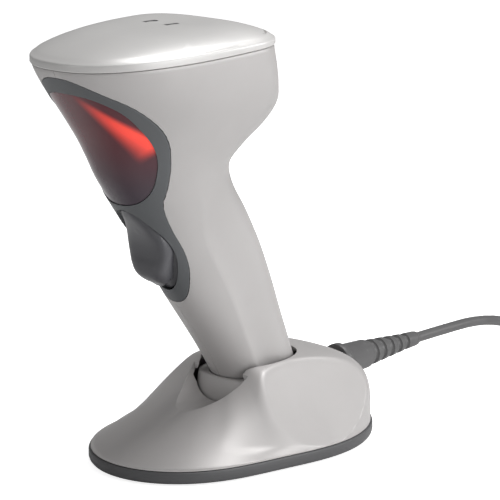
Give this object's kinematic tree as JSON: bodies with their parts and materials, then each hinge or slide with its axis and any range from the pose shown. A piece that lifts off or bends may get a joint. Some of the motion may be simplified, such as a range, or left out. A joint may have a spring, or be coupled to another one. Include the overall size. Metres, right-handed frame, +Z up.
{
  "type": "handheld barcode scanner",
  "caption": "Pistol-grip barcode scanner with a flared head and red scan window, standing in the tilting cup of a domed desk stand that has a cord and plug.",
  "frame": {"origin": "centre of the middle rubber foot's lower face, on the mid-plane where the stand rests", "axes": "+Z up from the desk, -Y towards the scan window, X = 0 is the mid-plane"},
  "size_m": [0.1058, 0.4486, 0.1875],
  "materials": {
    "light_plastic": "fine texture, light warm grey",
    "lid_plastic": "fine texture, near white",
    "dark_plastic": "fine texture, dark grey",
    "black_plastic": "matt black",
    "window": "smoky red filter",
    "rubber": "matt",
    "steel": "plated",
    "mirror": "polished",
    "brass": "turned",
    "gold": "gold plated",
    "board": "green solder resist",
    "lens": "clear",
    "white_plastic": "satin",
    "cell": "shrink sleeve",
    "cord": "matt dark grey"
  },
  "bodies": {
    "stand": {"stand_cover": "light_plastic", "base_plate": "dark_plastic", "base_weight": "steel", "stand_screw_front": "steel", "stand_screw_left": "steel", "stand_screw_right": "steel", "rubber_foot_1": "rubber", "rubber_foot_2": "rubber", "rubber_foot_3": "rubber", "rubber_foot_4": "rubber", "rubber_foot_5": "rubber", "axle_bracket_left": "steel", "axle_bracket_right": "steel", "pivot_pin_left": "steel", "pivot_pin_right": "steel", "strain_relief": "cord", "cup_lead": "cord", "host_cord": "cord", "cord_coil": "cord", "cord_tie": "black_plastic", "host_plug": "black_plastic"},
    "cup": {"tilt_cup": "light_plastic", "contact_block": "black_plastic", "spring_contact_left": "gold", "spring_contact_right": "gold"},
    "handset": {"housing_left": "light_plastic", "housing_right": "light_plastic", "top_cover": "lid_plastic", "front_bezel": "dark_plastic", "handle_end_cap": "dark_plastic", "trigger_switch": "black_plastic", "optics_chassis": "black_plastic", "laser_holder": "black_plastic", "photodetector": "black_plastic", "beeper": "black_plastic", "scan_window": "window", "window_gasket": "rubber", "trigger_pin": "steel", "trigger_spring": "steel", "chassis_screw_left": "steel", "chassis_screw_right": "steel", "polygon_motor": "steel", "housing_screw": "steel", "collector_mirror": "mirror", "pattern_mirror_1": "mirror", "pattern_mirror_2": "mirror", "pattern_mirror_3": "mirror", "pattern_mirror_4": "mirror", "laser_module": "brass", "charge_contact_left": "gold", "charge_contact_right": "gold", "main_board": "board", "handle_board": "board", "light_pipe_left": "lens", "light_pipe_right": "lens", "battery_cell": "cell"},
    "trigger": {"trigger": "dark_plastic"},
    "plunger": {"switch_plunger": "white_plastic"},
    "polygon": {"polygon_mirror": "mirror", "motor_shaft": "steel"}
  },
  "joints": [
    {"name": "cup_tilt", "type": "hinge", "parent": "stand", "child": "cup", "pos_m": [0, 0.044, 0.02], "axis": [1, 0, 0], "range_deg": [-6, 6]},
    {"name": "handset_lift", "type": "slide", "parent": "cup", "child": "handset", "axis": [0, -0.4462, 0.8949], "range_m": [0, 0.045]},
    {"name": "trigger_pull", "type": "hinge", "parent": "handset", "child": "trigger", "pos_m": [0, -0.0276, 0.1065], "axis": [1, 0, 0], "range_deg": [0, 5], "stiffness_Nm_per_rad": 0.15, "springref_deg": -14.32, "deforming": ["trigger_spring"]},
    {"name": "plunger_travel", "type": "slide", "parent": "handset", "child": "plunger", "axis": [0, 0.8387, 0.5446], "range_m": [0, 0.0016]},
    {"name": "polygon_spin", "type": "hinge", "parent": "handset", "child": "polygon", "pos_m": [0, -0.014, 0.161], "axis": [0, 0, 1], "continuous": true}
  ],
  "couplings": [
    {"joint": "plunger_travel", "follows": "trigger_pull", "m_per_rad": 0.017}
  ]
}
